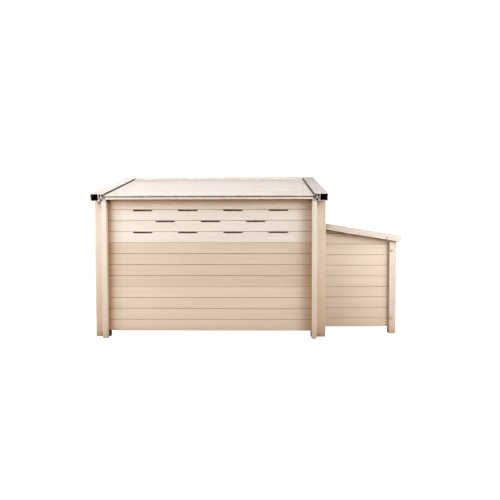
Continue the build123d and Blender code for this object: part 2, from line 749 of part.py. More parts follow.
screw_top = button_lift + button_thick + knuckle_gap
screw_profile = ((0, -button_screw_grip), (button_screw_r, -button_screw_grip), (button_screw_r, screw_top),
                 (screw_head_r, screw_top), (screw_head_r, screw_top + screw_head_height / 2),
                 (screw_head_r / 2, screw_top + screw_head_height), (0, screw_top + screw_head_height))
pieces["button_screw"] = turned((mid_x, back_y, button_z), (0, 1, 0), screw_profile)

# ---- tray ---------------------------------------------------------------------------------------
tray_half = 452.0
tray_bottom = 72.0
tray_depth = 32.0
tray_wall = 3.0
tray_play = 12.0            # behind the tray when it is shut
tray_front_bottom = 73.0
tray_front_top = 126.0
notch_width = 120.0         # finger notch in the top edge of the tray's front
notch_depth = 20.0

with BuildPart() as tray_pan:
    tray_near = floor_low + tray_play
    tray_far = door_back
    with BuildSketch(Plane.XY.offset(tray_bottom)):
        with Locations((mid_x, (tray_near + tray_far) / 2)):
            Rectangle(2 * tray_half, tray_far - tray_near)
    extrude(amount=tray_depth)
    with BuildSketch(Plane.XY.offset(tray_bottom + tray_wall)):
        with Locations((mid_x, (tray_near + tray_far) / 2)):
            Rectangle(2 * (tray_half - tray_wall), tray_far - tray_near - 2 * tray_wall)
    extrude(amount=tray_depth, mode=Mode.SUBTRACT)
pieces["tray_pan"] = tray_pan.part

with BuildPart() as tray_front:
    front_height = tray_front_top - tray_front_bottom
    with BuildSketch(Plane(origin=(mid_x, back_y, tray_front_bottom), x_dir=(-1, 0, 0), z_dir=(0, 1, 0))):
        with Locations((0, front_height / 2)):
            Rectangle(2 * door_outer, front_height)
        with Locations((0, front_height)):
            SlotOverall(notch_width, 2 * notch_depth, mode=Mode.SUBTRACT)
    extrude(amount=-door_thick)
pieces["tray_front"] = tray_front.part

# ---- fasteners ----------------------------------------------------------------------------------
# radius and height of each corner of the outlines
bolt_profile = ((0, -leg_thick), (bolt_shank_r, -leg_thick), (bolt_shank_r, 0), (bolt_head_r, 0),
                (bolt_head_r, 3.0), (6.3, 5.6), (3.8, 7.8), (0, bolt_head_height))
nut_profile = ((0, 0), (bolt_head_r, 0), (bolt_head_r, bolt_nut_height - 1),
               (bolt_head_r - 1, bolt_nut_height), (0, bolt_nut_height))
cap_profile = ((0, 0), (6, 0), (6, 1.2), (4.4, 2.4), (0, 2.8))
cap_x = 845.5               # body centre to the caps on the nest posts
cap_levels = (74.0, 392.0)

bolts, caps = [], []
for side in (-1, 1):
    head_face = Vector(mid_x + side * body_half, face_y + bolt_depth, bolt_z)
    nut_face = Vector(mid_x + side * (body_half + leg_thick), face_y + bolt_depth, bolt_z)
    bolts.append(turned(head_face, (-side, 0, 0), bolt_profile))
    bolts.append(turned(nut_face, (side, 0, 0), nut_profile))
for level in cap_levels:
    caps.append(turned((mid_x + cap_x, face_y + nest_front, level), (0, -1, 0), cap_profile))
    caps.append(turned((mid_x + cap_x, face_y + nest_back, level), (0, 1, 0), cap_profile))
pieces["dome_bolts"] = Compound(children=bolts)
pieces["screw_caps"] = Compound(children=caps)

# ---- one file for each sub-part -----------------------------------------------------------------
os.makedirs("parts", exist_ok=True)
for name, piece in pieces.items():
    piece.label = name
    export_step(piece, f"parts/{name}.step")
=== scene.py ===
import json
import math
import random

import bmesh
import bpy
from mathutils import Matrix, Vector

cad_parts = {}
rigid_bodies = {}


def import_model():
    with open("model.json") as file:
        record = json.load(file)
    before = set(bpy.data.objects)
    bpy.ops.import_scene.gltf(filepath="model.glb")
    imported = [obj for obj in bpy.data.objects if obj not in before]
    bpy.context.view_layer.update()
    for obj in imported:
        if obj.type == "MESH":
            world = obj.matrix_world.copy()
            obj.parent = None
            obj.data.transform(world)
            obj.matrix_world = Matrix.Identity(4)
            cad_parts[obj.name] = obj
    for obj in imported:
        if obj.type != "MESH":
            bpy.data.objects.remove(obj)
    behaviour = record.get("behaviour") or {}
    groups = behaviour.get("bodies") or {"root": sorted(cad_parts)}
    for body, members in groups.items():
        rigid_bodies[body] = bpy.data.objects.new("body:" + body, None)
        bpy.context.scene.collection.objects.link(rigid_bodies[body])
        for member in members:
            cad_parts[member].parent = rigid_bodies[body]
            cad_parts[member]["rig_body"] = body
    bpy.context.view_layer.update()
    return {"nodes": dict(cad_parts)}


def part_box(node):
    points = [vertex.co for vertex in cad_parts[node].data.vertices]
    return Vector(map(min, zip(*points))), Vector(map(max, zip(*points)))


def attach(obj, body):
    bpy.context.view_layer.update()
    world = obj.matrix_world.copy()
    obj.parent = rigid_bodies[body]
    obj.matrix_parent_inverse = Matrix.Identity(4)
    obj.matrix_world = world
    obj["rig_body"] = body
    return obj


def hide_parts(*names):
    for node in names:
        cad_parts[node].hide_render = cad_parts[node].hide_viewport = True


# Looks of a rabbit hutch in wood-plastic composite. Metres, in the frame of the CAD model:
# +Z up, the low eave faces -Y, the doors face +Y and the nest box stands at the +X end.

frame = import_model()
MM = 0.001
SEED = 11
dice = random.Random(SEED)

ROOF_PITCH = math.radians(13.8)
LID_PITCH = math.radians(9.33)
ROOF_UP = Vector((0, -math.sin(ROOF_PITCH), math.cos(ROOF_PITCH)))
LID_UP = Vector((math.sin(LID_PITCH), 0, math.cos(LID_PITCH)))
BACK = Vector((0, 1, 0))
RIGHT = Vector((1, 0, 0))


# ---- node trees ---------------------------------------------------------------------------
def new_material(name):
    """A material, its node tree and its shader."""
    material = bpy.data.materials.new(name)
    material.use_nodes = True
    return material, material.node_tree, material.node_tree.nodes["Principled BSDF"]


def add_node(tree, kind, sockets=None, **settings):
    """A node with its settings, and its sockets either linked or given a value."""
    made = tree.nodes.new("ShaderNode" + kind)
    for key, value in settings.items():
        setattr(made, key, value)
    for key, value in (sockets or {}).items():
        if isinstance(value, bpy.types.NodeSocket):
            tree.links.new(value, made.inputs[key])
        else:
            made.inputs[key].default_value = value
    return made


def math_of(tree, operation, first, second=0.0):
    return add_node(tree, "Math", {0: first, 1: second}, operation=operation).outputs[0]


def mapped(tree, value, low, high, to_low, to_high):
    """A value spread from one range to another, and held at its ends."""
    sockets = {0: value, 1: low, 2: high, 3: to_low, 4: to_high}
    return add_node(tree, "MapRange", sockets).outputs[0]


def mixed(tree, factor, first, second, mode="MIX"):
    """Two colours, blended. The sockets are the node's own for colours."""
    made = add_node(tree, "Mix", {0: factor, 6: first, 7: second}, data_type="RGBA", blend_type=mode)
    return made.outputs[2]


def noise(tree, place, stretch, detail=2.0, roughness=0.55):
    """Noise stretched by a different scale along each axis, in waves to a metre."""
    scaled = add_node(tree, "VectorMath", {0: place, 1: stretch}, operation="MULTIPLY").outputs[0]
    sockets = {"Vector": scaled, "Scale": 1.0, "Detail": detail, "Roughness": roughness}
    return add_node(tree, "TexNoise", sockets).outputs[0]


def face_value(tree, name):
    """A number that the mesh carries on its faces; it is nought where the mesh has none."""
    return add_node(tree, "Attribute", attribute_type="GEOMETRY", attribute_name=name).outputs["Fac"]


def rgba(colour, gain=1.0):
    return (*[min(1.0, part * gain) for part in colour], 1.0)


# ---- materials ----------------------------------------------------------------------------
# turns that bring the grain of a piece onto X
GRAIN_X = (0.0, 0.0, 0.0)
GRAIN_Y = (0.0, 0.0, -math.pi / 2)
GRAIN_Z = (0.0, math.pi / 2, 0.0)
GRAIN_ROOF = (-ROOF_PITCH, 0.0, 0.0)
GRAIN_LID = (0.0, LID_PITCH, 0.0)
# waves to a metre, along the grain and across it
DRIFT = (2.2, 55.0, 55.0)
LINES = (5.0, 620.0, 620.0)
HAIR = (26.0, 1900.0, 1900.0)
FLECKS = (150.0, 950.0, 950.0)
CLOUDS = (7.0, 7.0, 7.0)
RUBBING = (38.0, 38.0, 38.0)
MOST = (0.3, 0.7)           # where most of a noise's values lie
DARK_SHARE = (0.80, 0.72, 0.62)     # of a tone, in its dark lines
SHADE_DUST_SHARE = (0.70, 0.56, 0.43)     # of a tone, in its painted shade towards the bottom and its painted shade and dust in the grooves
LOWER_SHADE_TOP = 0.42           # height up to which painted shade darkens the lower parts
CORNER_REACH = 0.07         # distance within which surfaces shade each other
CORNER_SAMPLES = 6
# warm brown, multiplied in as painted shade in inner corners
CORNER_SHADE_TONE = (0.825, 0.625, 0.425, 1.0)
CORNER_SHADE_OPENNESS = (0.55, 1.03)      # openness of a corner, from full painted shade to none
GAP_SHADE_OPENNESS = (0.12, 0.46)        # openness of a gap, from full painted shade to none
# share and tone of the near-black painted shade in narrow gaps
GAP_SHADE_MOST = 0.92
GAP_SHADE_TONE = (0.060, 0.038, 0.022, 1.0)


def composite(name, tone, turn, lower_shade=0.10, corner_shade=1.0, groove_shade_and_dust=0.5):
    """Satin wood-plastic composite: fine extrusion lines along the piece, pale and dark
    drifts of wood flour, short fibre flecks, rubbed arrises (the same pale tone is a painted
    highlight on the roof boards' front lip), painted shade darker towards the bottom,
    painted shade and dust in the grooves, and painted shade that darkens inner corners and
    narrow gaps."""
    material, tree, shader = new_material(name)
    place = add_node(tree, "TexCoord").outputs["Object"]
    first = add_node(tree, "VectorRotate", {"Vector": place, "Rotation": turn}, rotation_type="EULER_XYZ")
    grain = first.outputs[0]
    if turn == GRAIN_ROOF:
        second = {"Vector": grain, "Rotation": GRAIN_Y}
        grain = add_node(tree, "VectorRotate", second, rotation_type="EULER_XYZ").outputs[0]
    drift = noise(tree, grain, DRIFT, 4.0)
    lines = noise(tree, grain, LINES, 3.0)
    hair = noise(tree, grain, HAIR, 2.0)
    cloud = noise(tree, place, CLOUDS, 3.0)
    fleck = noise(tree, grain, FLECKS, 1.0)
    rub = noise(tree, place, RUBBING, 3.0, 0.7)

    colour = mixed(tree, mapped(tree, drift, *MOST, 0.0, 1.0), rgba(tone, 0.955), rgba(tone, 1.035))
    dark_tone = [part * share for part, share in zip(tone, DARK_SHARE)]
    colour = mixed(tree, mapped(tree, lines, 0.52, 0.80, 0.0, 0.30), colour, rgba(dark_tone))
    colour = mixed(tree, mapped(tree, cloud, 0.35, 0.75, 0.0, 0.10), colour, rgba(dark_tone))
    colour = mixed(tree, mapped(tree, fleck, 0.66, 0.78, 0.0, 0.34), colour, rgba(tone, 0.52))
    # painted shade: darker towards the bottom, with a cloudy edge
    height = add_node(tree, "SeparateXYZ", {0: place}).outputs[2]
    lower_shade_level = math_of(tree, "ADD", height, math_of(tree, "MULTIPLY", cloud, 0.12))
    shade_dust_tone = [part * share for part, share in zip(tone, SHADE_DUST_SHARE)]
    colour = mixed(tree, mapped(tree, lower_shade_level, 0.0, LOWER_SHADE_TOP, lower_shade, 0.0), colour, rgba(shade_dust_tone))
    # painted shade and dust in the V-grooves and joints, uneven
    filled = mapped(tree, rub, *MOST, groove_shade_and_dust - 0.15, groove_shade_and_dust + 0.15)
    groove = math_of(tree, "MULTIPLY", face_value(tree, "groove"), filled)
    colour = mixed(tree, groove, colour, rgba(shade_dust_tone, 0.7))
    # painted shade: inner corners multiplied by a warm brown, by how open they are
    shading = add_node(tree, "AmbientOcclusion", {"Distance": CORNER_REACH}, samples=CORNER_SAMPLES)
    corner = shading.outputs["AO"]
    shade = math_of(tree, "ADD", corner, math_of(tree, "MULTIPLY", rub, 0.10))
    colour = mixed(tree, mapped(tree, shade, *CORNER_SHADE_OPENNESS, corner_shade, 0.0), colour, CORNER_SHADE_TONE, "MULTIPLY")
    # pale rubbed edges; on the roof boards' front lip this pale tone is a painted highlight
    wear_and_highlight_mask = math_of(tree, "MULTIPLY", face_value(tree, "wear_and_highlight"), mapped(tree, rub, 0.40, 0.62, 0.15, 0.85))
    colour = mixed(tree, wear_and_highlight_mask, colour, rgba([0.55 * part + 0.45 for part in tone]))
    # painted shade: faces marked as in a gap, and narrow gaps found by their openness, turn near-black
    hidden = math_of(tree, "MULTIPLY", face_value(tree, "gap_shade"), GAP_SHADE_MOST)
    deep = math_of(tree, "MAXIMUM", mapped(tree, corner, *GAP_SHADE_OPENNESS, GAP_SHADE_MOST, 0.0), hidden)
    colour = mixed(tree, deep, colour, GAP_SHADE_TONE)
    tree.links.new(colour, shader.inputs["Base Color"])

    rough = mapped(tree, lines, *MOST, 0.44, 0.58)
    rough = math_of(tree, "SUBTRACT", rough, math_of(tree, "MULTIPLY", wear_and_highlight_mask, 0.12))
    tree.links.new(rough, shader.inputs["Roughness"])
    shader.inputs["Specular IOR Level"].default_value = 0.5
    relief = math_of(tree, "ADD", lines, math_of(tree, "MULTIPLY", hair, 0.5))
    relief = math_of(tree, "SUBTRACT", relief, mapped(tree, fleck, 0.62, 0.80, 0.0, 0.8))
    bump = add_node(tree, "Bump", {"Strength": 0.35, "Distance": 0.0004, "Height": relief})
    tree.links.new(bump.outputs[0], shader.inputs["Normal"])
    return material


FLOW_CLOUDS = (30.0, 30.0, 30.0)
GRIT = (1400.0, 1400.0, 1400.0)
SCUFFS = (90.0, 90.0, 420.0)


def plastic(name, tone, rough, speckle=0.10):
    """Moulded plastic: a fine spark-eroded texture, faint flow clouds and scuffed edges."""
    material, tree, shader = new_material(name)
    place = add_node(tree, "TexCoord").outputs["Object"]
    cloud = noise(tree, place, FLOW_CLOUDS, 3.0)
    grit = noise(tree, place, GRIT, 2.0)
    scuff = noise(tree, place, SCUFFS, 4.0, 0.7)
    colour = mixed(tree, mapped(tree, cloud, *MOST, 0.0, 1.0), rgba(tone, 0.93), rgba(tone, 1.05))
    colour = mixed(tree, mapped(tree, grit, 0.58, 0.8, 0.0, speckle * 3), colour, rgba(tone, 0.7))
    scratch = mapped(tree, scuff, 0.64, 0.74, 0.0, 0.35)
    wear_and_highlight_mask = math_of(tree, "MAXIMUM", scratch, math_of(tree, "MULTIPLY", face_value(tree, "wear_and_highlight"), 0.5))
    colour = mixed(tree, wear_and_highlight_mask, colour, rgba([0.7 * part + 0.28 for part in tone]))
    tree.links.new(colour, shader.inputs["Base Color"])
    tree.links.new(mapped(tree, scuff, *MOST, rough - 0.06, rough + 0.10), shader.inputs["Roughness"])
    bump = add_node(tree, "Bump", {"Strength": 0.25, "Distance": 0.0002, "Height": grit})
    tree.links.new(bump.outputs[0], shader.inputs["Normal"])
    return material


BRUSHING = (900.0, 60.0, 900.0)
TARNISH = (60.0, 60.0, 60.0)
TARNISHED = (0.55, 0.75)    # from clean to dull
TARNISH_TONE = (0.36, 0.31, 0.25)


def steel(name, tone, rough, spangle):
    """Zinc-plated steel: plating clouds, fine brushing, and dull spots on the edges."""
    material, tree, shader = new_material(name)
    place = add_node(tree, "TexCoord").outputs["Object"]
    cells = add_node(tree, "TexVoronoi", {"Vector": place, "Scale": spangle}).outputs["Color"]
    cell = add_node(tree, "SeparateColor", {0: cells}).outputs[0]
    brush = noise(tree, place, BRUSHING, 3.0)
    tarnish = noise(tree, place, TARNISH, 4.0, 0.7)
    colour = mixed(tree, cell, rgba(tone, 0.9), rgba(tone, 1.08))
    colour = mixed(tree, mapped(tree, tarnish, *TARNISHED, 0.0, 0.5), colour, rgba(TARNISH_TONE))
    tree.links.new(colour, shader.inputs["Base Color"])
    shader.inputs["Metallic"].default_value = 1.0
    spots = math_of(tree, "ADD", mapped(tree, brush, *MOST, rough - 0.05, rough + 0.08),
                    mapped(tree, tarnish, *TARNISHED, 0.0, 0.25))
    tree.links.new(spots, shader.inputs["Roughness"])
    bump = add_node(tree, "Bump", {"Strength": 0.2, "Distance": 0.0001, "Height": brush})
    tree.links.new(bump.outputs[0], shader.inputs["Normal"])
    return material


# tones of the boards, posts and rails, from batch to batch; the last is a darker copy of CREAM, painted
# shade for the right roof rail
PALE = (0.814, 0.760, 0.702)
TAN = (0.716, 0.608, 0.504)
SAND = (0.781, 0.688, 0.591)
WHEAT = (0.745, 0.664, 0.573)
BONE = (0.765, 0.705, 0.635)
CREAM = (0.790, 0.722, 0.670)
MILK = (0.762, 0.696, 0.648)
ASH = (0.690, 0.632, 0.582)
RAIL_SHADE_TONE = (0.640, 0.592, 0.568)

materials = {
    "wall_pale": composite("wall_pale", PALE, GRAIN_X),
    "wall_tan": composite("wall_tan", TAN, GRAIN_X),
    "wall_sand": composite("wall_sand", SAND, GRAIN_X, 0.20),
    "side_pale": composite("side_pale", PALE, GRAIN_Y),
    "side_tan": composite("side_tan", TAN, GRAIN_Y),
    "side_sand": composite("side_sand", SAND, GRAIN_Y, 0.20),
    "post": composite("post", BONE, GRAIN_Z, 0.55, 0.55),
    "frame_x": composite("frame_x", BONE, GRAIN_X),
    "frame_z": composite("frame_z", BONE, GRAIN_Z),
    "floor": composite("floor", SAND, GRAIN_X),
    "roof": composite("roof", MILK, GRAIN_X, corner_shade=0.4, groove_shade_and_dust=0.95),
    "roof_rail": composite("roof_rail", CREAM, GRAIN_ROOF, corner_shade=0.6),
    # painted shade: the right roof rail in a darker copy of the rail's tone
    "roof_rail_painted_shade": composite("roof_rail_painted_shade", RAIL_SHADE_TONE, GRAIN_ROOF, corner_shade=0.6),
    "nest_x": composite("nest_x", WHEAT, GRAIN_X, 0.35, 0.4),
    "nest_y": composite("nest_y", WHEAT, GRAIN_Y, 0.35),
    "nest_z": composite("nest_z", ASH, GRAIN_Z, 0.30),
    "lid": composite("lid", ASH, GRAIN_Y),
    "lid_rail": composite("lid_rail", ASH, GRAIN_LID),
    "tray": plastic("tray", (0.33, 0.29, 0.25), 0.42),
    "cap": plastic("cap", (0.56, 0.40, 0.235), 0.34, 0.06),
    "knob": plastic("knob", (0.70, 0.60, 0.48), 0.34, 0.06),
    "zinc": steel("zinc", (0.70, 0.69, 0.66), 0.36, 420.0),
    "galvanised": steel("galvanised", (0.62, 0.62, 0.60), 0.42, 700.0),
}


# ---- mesh helpers ---------------------------------------------------------------------------
def finish_piece(name, bm, material, body, replaced=(), flat_angle=32.0):
    """Turns a mesh into a piece that rides on a body and takes its finish from a slot."""
    bmesh.ops.recalc_face_normals(bm, faces=bm.faces)
    for face in bm.faces:
        face.smooth = True
    for edge in bm.edges:
        angle = edge.calc_face_angle(0.0) if len(edge.link_faces) == 2 else math.pi
        edge.smooth = angle < math.radians(flat_angle)
    mesh = bpy.data.meshes.new(name)
    bm.to_mesh(mesh)
    bm.free()
    piece = bpy.data.objects.new(name, mesh)
    bpy.context.scene.collection.objects.link(piece)
    piece.data.materials.append(materials[material])
    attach(piece, body)
    if replaced:
        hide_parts(*replaced)
    return piece


def cad_mesh(node):
    """The mesh of a CAD node with its seams joined, in quads where it is flat."""
    bm = bmesh.new()
    bm.from_mesh(frame["nodes"][node].data)
    bmesh.ops.remove_doubles(bm, verts=bm.verts, dist=0.00002)
    bmesh.ops.join_triangles(bm, faces=bm.faces, angle_face_threshold=math.radians(0.5),
                             angle_shape_threshold=math.pi)
    return bm


BOARD_LENGTH = 0.1          # an edge longer than this can be a V-groove's
ROOF_LENGTH = 0.5           # and longer than this, a roof board's or a rail's
VEE_FACE = 4.6 * MM         # the faces of a V-groove are narrower than this
RAIL_GAP = (4 * MM, 10 * MM)        # how far in from a rail's ledge the gap beside it lies
CONCAVE, CHAMFER, ARRIS_ANGLE = math.radians(-60), math.radians(20), math.radians(50)


def softened(node, arris, material, shortest=12 * MM, segments=2, joint_shade=0.0):
    """Stands for a CAD node, with its long outer edges rounded. The faces carry where the
    edges are rubbed and where the V-grooves are, which get painted shade and dust. On the roof
    they also carry the boards' chamfers, which get painted shade, their lip, which gets a
    painted highlight, and the faces in the gaps beside the rails, which get painted shade."""
    bm = cad_mesh(node)
    wear_and_highlight = bm.faces.layers.float.new("wear_and_highlight")
    groove = bm.faces.layers.float.new("groove")
    gap_shade = bm.faces.layers.float.new("gap_shade")
    for edge in bm.edges:
        length = edge.calc_length()
        if edge.is_manifold and length > BOARD_LENGTH and edge.calc_face_angle_signed(0.0) < CONCAVE:
            for face in edge.link_faces:
                face[groove] = 1.0 if face.calc_area() / length < VEE_FACE else face[groove]
    # on the roof: painted shade on the joints' chamfer faces and the boards' ends, and a painted highlight
    # on the lip
    for face in bm.faces if joint_shade else ():
        sides = [edge for edge in face.edges if edge.calc_length() > ROOF_LENGTH]
        if len(sides) == 2 and all(edge.calc_face_angle_signed(0.0) > CHAMFER for edge in sides):
            narrow = face.calc_area() / sides[0].calc_length() < VEE_FACE
            face[groove] = joint_shade if narrow else face[groove]
        # painted highlight: the roof boards' front lip takes the pale tone of rubbed edges
        if sides and face.normal.dot(-BACK) > 0.9:
            face[wear_and_highlight] = 1.0
        # painted shade on the boards' ends, in the gaps beside the rails
        if abs(face.normal.x) > 0.99:
            face[gap_shade] = 1.0
    # painted shade on the rails' inner faces, in the gap beside the boards
    if material.startswith("roof_rail"):
        towards = 1 if node.endswith("left") else -1
        innermost = max(vert.co.x * towards for vert in bm.verts)
        for face in bm.faces:
            reach = innermost - face.verts[0].co.x * towards
            if face.normal.x * towards > 0.99 and RAIL_GAP[0] < reach < RAIL_GAP[1]:
                face[gap_shade] = 1.0
    outer = [edge for edge in bm.edges if edge.is_manifold and edge.calc_length() > shortest
             and edge.calc_face_angle_signed(0.0) > ARRIS_ANGLE]
    rounded = bmesh.ops.bevel(bm, geom=outer, offset=arris, offset_type="OFFSET", segments=segments,
                              profile=0.5, affect="EDGES", clamp_overlap=False)
    for face in rounded["faces"]:
        face[wear_and_highlight] = 1.0
        face[groove] = face[gap_shade] = 0.0
    source = frame["nodes"][node]
    piece = finish_piece(node + "_finished", bm, material, source["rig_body"], (node,))
    weighted = piece.modifiers.new("flat_faces", "WEIGHTED_NORMAL")
    weighted.keep_sharp = True
    return piece


def outward(centre, direction):
    """A place at a point, with its Z axis along a direction."""
    turn = Vector(direction).to_track_quat("Z", "Y").to_matrix().to_4x4()
    return Matrix.Translation(centre) @ turn


def ring(bm, place, radius, height, count=32):
    """A ring of points round the Z axis of a place."""
    made = []
    for step in range(count):
        angle = 2 * math.pi * step / count
        point = Vector((radius * math.cos(angle), radius * math.sin(angle), height))
        made.append(bm.verts.new(place @ point))
    return made


def band(bm, lower, upper):
    """Faces between two rings."""
    for step in range(len(lower)):
        after = (step + 1) % len(lower)
        bm.faces.new((lower[step], lower[after], upper[after], upper[step]))


def smooth_line(points, parts=5):
    """Points along a smooth curve through the given ones; a point given twice is a corner."""
    out = []
    for index in range(len(points) - 1):
        before = Vector(points[max(index - 1, 0)])
        start, end = Vector(points[index]), Vector(points[index + 1])
        after = Vector(points[min(index + 2, len(points) - 1)])
        if (end - start).length < 1e-9:
            continue
        for step in range(parts):
            t = step / parts
            bend = 2 * before - 5 * start + 4 * end - after
            twist = 3 * start - before - 3 * end + after
            out.append(0.5 * (2 * start + (end - before) * t + bend * t * t + twist * t ** 3))
    out.append(Vector(points[-1]))
    return out


def turned(bm, place, outline, count=40):
    """A round piece turned about the Z axis of a place, from (radius, height) points that
    begin and end on the axis."""
    line = smooth_line([(point[0] * MM, point[1] * MM) for point in outline])
    start = bm.verts.new(place @ Vector((0, 0, line[0].y)))
    end = bm.verts.new(place @ Vector((0, 0, line[-1].y)))
    rings = [ring(bm, place, point.x, point.y, count) for point in line[1:-1]]
    for lower, upper in zip(rings, rings[1:]):
        band(bm, lower, upper)
    for step in range(count):
        after = (step + 1) % count
        bm.faces.new((start, rings[0][after], rings[0][step]))
        bm.faces.new((end, rings[-1][step], rings[-1][after]))


def tube(bm, points, radius, count=10):
    """A round wire along straight runs, with closed ends."""
    points = [Vector(point) for point in points]
    side = (points[1] - points[0]).orthogonal().normalized()
    rings = []
    for index, point in enumerate(points):
        ahead = (points[min(index + 1, len(points) - 1)] - point).normalized()
        behind = (point - points[max(index - 1, 0)]).normalized()
        along = (ahead + behind).normalized()
        side = (side - along * side.dot(along)).normalized()
        other = along.cross(side)
        widen = 1 / max(0.6, along.dot(ahead if index == 0 else behind))
        made = []
        for step in range(count):
            angle = 2 * math.pi * step / count
            spoke = side * math.cos(angle) + other * math.sin(angle)
            made.append(bm.verts.new(point + spoke * radius * widen))
        rings.append(made)
    for lower, upper in zip(rings, rings[1:]):
        band(bm, lower, upper)
    bm.faces.new(rings[0])
    bm.faces.new(rings[-1])


def cross_screw(bm, place, radius, height):
    """A pan head with a cross recess, on the Z axis of a place."""
    arm, half = 0.55 * radius, 0.13 * radius
    corners = ((arm, -half), (arm, half), (half, half), (half, arm), (-half, arm), (-half, half),
               (-arm, half), (-arm, -half), (-half, -half), (-half, -arm), (half, -arm), (half, -half))
    spin = place @ Matrix.Rotation(dice.uniform(0, math.pi / 2), 4, "Z")
    base = ring(bm, spin, radius, 0.0, 24)
    rim = ring(bm, spin, radius, 0.4 * height, 24)
    shoulder = ring(bm, spin, 0.9 * radius, 0.78 * height, 24)
    top = ring(bm, spin, 0.7 * radius, height, 24)
    for lower, upper in ((base, rim), (rim, shoulder), (shoulder, top)):
        band(bm, lower, upper)
    mouth = [bm.verts.new(spin @ Vector((x, y, height))) for x, y in corners]
    floor = [bm.verts.new(spin @ Vector((x * 0.8, y * 0.8, 0.25 * height))) for x, y in corners]
    band(bm, floor, mouth)
    bm.faces.new(floor)
    loops = []
    for loop in (top, mouth):
        for step in range(len(loop)):
            pair = (loop[step], loop[(step + 1) % len(loop)])
            loops.append(bm.edges.get(pair) or bm.edges.new(pair))
    bmesh.ops.triangle_fill(bm, edges=loops, use_beauty=True)
    bm.faces.new(list(reversed(base)))


def middle(low, high):
    return (low + high) / 2


# ---- extruded boards, posts, rails and frames ------------------------------------------------
EXTRUSIONS = {
    "wall_sand": ("low_wall_board_lower",),
    "wall_tan": ("low_wall_board_middle",),
    "wall_pale": ("low_wall_board_vented",),
    "side_sand": ("left_wall_board_1", "right_wall_board_1"),
    "side_tan": ("left_wall_board_2", "right_wall_board_2"),
    "side_pale": ("left_wall_board_3", "left_wall_board_top", "right_wall_board_3", "right_wall_board_top"),
    "post": ("post_low_left", "post_low_right", "post_high_left", "post_high_right"),
    "frame_x": ("header_rail", "sill_rail", "tray_rail", "tray_front", "left_door_rails", "right_door_rails",
                "left_door_panel", "right_door_panel"),
    "frame_z": ("centre_mullion", "left_door_stiles", "right_door_stiles"),
    "floor": ("floor_panel", "floor_bearers"),
    "roof": ("roof_board_low", "roof_board_middle", "roof_board_high", "roof_hinge_rail"),
    "roof_rail": ("roof_rail_left",),
    "roof_rail_painted_shade": ("roof_rail_right",),
    "nest_x": ("nest_low_wall_boards", "nest_high_wall_boards", "nest_floor"),
    "nest_y": ("nest_end_wall_boards",),
    "nest_z": ("nest_post_low", "nest_post_high"),
    "lid": ("nest_lid_boards",),
    "lid_rail": ("nest_lid_rail_low", "nest_lid_rail_high"),
}
# how far back the edges of each kind are rounded, in millimetres
ARRIS = {"post": 1.1, "nest_z": 1.0, "roof_rail": 0.8, "roof_rail_painted_shade": 0.8, "frame_x": 1.0, "frame_z": 1.0}
BOARD_ARRIS = 0.5
# painted shade on the roof boards' joints
JOINT_SHADE = {"roof": 0.45}

for material, nodes in EXTRUSIONS.items():
    arris = ARRIS.get(material, BOARD_ARRIS) * MM
    for node in nodes:
        softened(node, arris, material, joint_shade=JOINT_SHADE.get(material, 0.0))

# ---- tray, hinges and turn button -------------------------------------------------------------
softened("tray_pan", 1.3 * MM, "tray", segments=3)
HINGES = {
    "door_hinge_frame_leaves": BACK,
    "left_door_hinge_leaves": BACK,
    "right_door_hinge_leaves": BACK,
    "roof_hinge_frame_leaves": BACK,
    "roof_hinge_lid_leaves": -ROOF_UP,
    "nest_hinge_wall_leaves": RIGHT,
    "nest_hinge_lid_leaves": LID_UP,
}


def plates(node, facing):
    """The outer face of each hinge plate: its middle, and its long direction and length."""
    bm = cad_mesh(node)
    wanted = [face for face in bm.faces if face.normal.dot(facing) > 0.999]
    largest = max(face.calc_area() for face in wanted)
    found = []
    for face in wanted:
        if face.calc_area() > 0.8 * largest:
            longest = max(face.edges, key=lambda edge: edge.calc_length())
            run = longest.verts[1].co - longest.verts[0].co
            across = run.normalized().cross(facing)
            points = [vert.co for vert in face.verts]
            spread = [point.dot(across) for point in points]
            ahead = [point.dot(run.normalized()) for point in points]
            centre = (across * middle(min(spread), max(spread)) + facing * points[0].dot(facing)
                      + run.normalized() * middle(min(ahead), max(ahead)))
            found.append((centre, run.normalized(), max(ahead) - min(ahead)))
    bm.free()
    return found


SCREW_PLACES = (-0.34, 0.0, 0.34)   # along a plate, as shares of its length
HINGE_SCREW = (3.1 * MM, 1.1 * MM)  # radius and height of the head

for node, facing in HINGES.items():
    softened(node, 0.3 * MM, "zinc", shortest=4 * MM)
    bm = bmesh.new()
    for centre, along, length in plates(node, facing):
        for share in SCREW_PLACES:
            cross_screw(bm, outward(centre + along * share * length, facing), *HINGE_SCREW)
    finish_piece(node.replace("leaves", "screws"), bm, "zinc", frame["nodes"][node]["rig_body"])

for node, material in (("hinge_pins", "zinc"), ("turn_button", "knob")):
    frame["nodes"][node].material_slots[0].material = materials[material]

# ---- turned fasteners and knobs ----------------------------------------------------------------
def islands(node):
    """The lowest and highest corner of each separate solid of a CAD node. They come in the
    order of the mesh's points, so that each run gives the same mesh."""
    bm = cad_mesh(node)
    seen = set()
    found = []
    for start in bm.verts:
        if start in seen:
            continue
        seen.add(start)
        group = [start]
        for vert in group:      # it grows by the neighbours that aren't in it yet
            for edge in vert.link_edges:
                other = edge.other_vert(vert)
                if other not in seen:
                    seen.add(other)
                    group.append(other)
        xs, ys, zs = zip(*[vert.co for vert in group])
        found.append((Vector((min(xs), min(ys), min(zs))), Vector((max(xs), max(ys), max(zs)))))
    bm.free()
    return found


